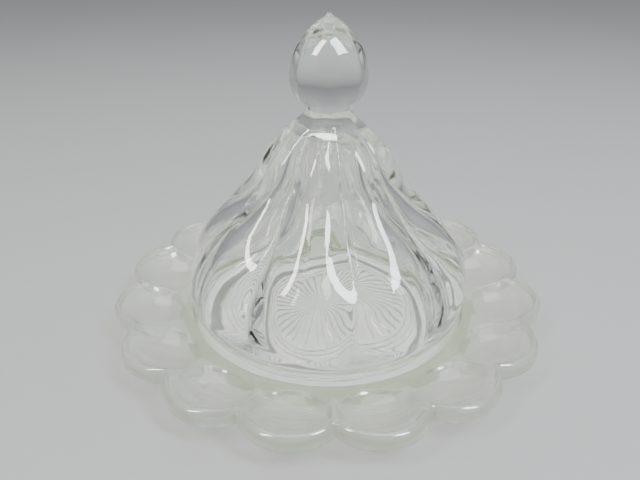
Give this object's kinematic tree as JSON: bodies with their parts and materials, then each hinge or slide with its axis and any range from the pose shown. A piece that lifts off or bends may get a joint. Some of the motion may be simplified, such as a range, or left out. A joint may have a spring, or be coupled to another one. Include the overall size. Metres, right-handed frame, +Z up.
{
  "type": "butter dish",
  "caption": "Round pressed-glass butter dish: scalloped underplate with thumbprint petals and a fluted bell cover that lifts off by its facetted knob.",
  "frame": {"origin": "on the table, under the centre of the underplate's foot", "axes": "+Z up along the cover's axis and its lift; -Y the front, through a notch between two petals"},
  "size_m": [0.197, 0.197, 0.1373],
  "materials": {
    "plate_glass": "clear pressed glass with satin, slightly milky petals",
    "cover_glass": "clear fire-polished pressed glass"
  },
  "bodies": {
    "underplate": {"underplate": "plate_glass"},
    "cover": {"cover": "cover_glass"}
  },
  "joints": [
    {"name": "cover_lift", "type": "slide", "parent": "underplate", "child": "cover", "axis": [0, 0, 1], "range_m": [0, 0.15]}
  ]
}
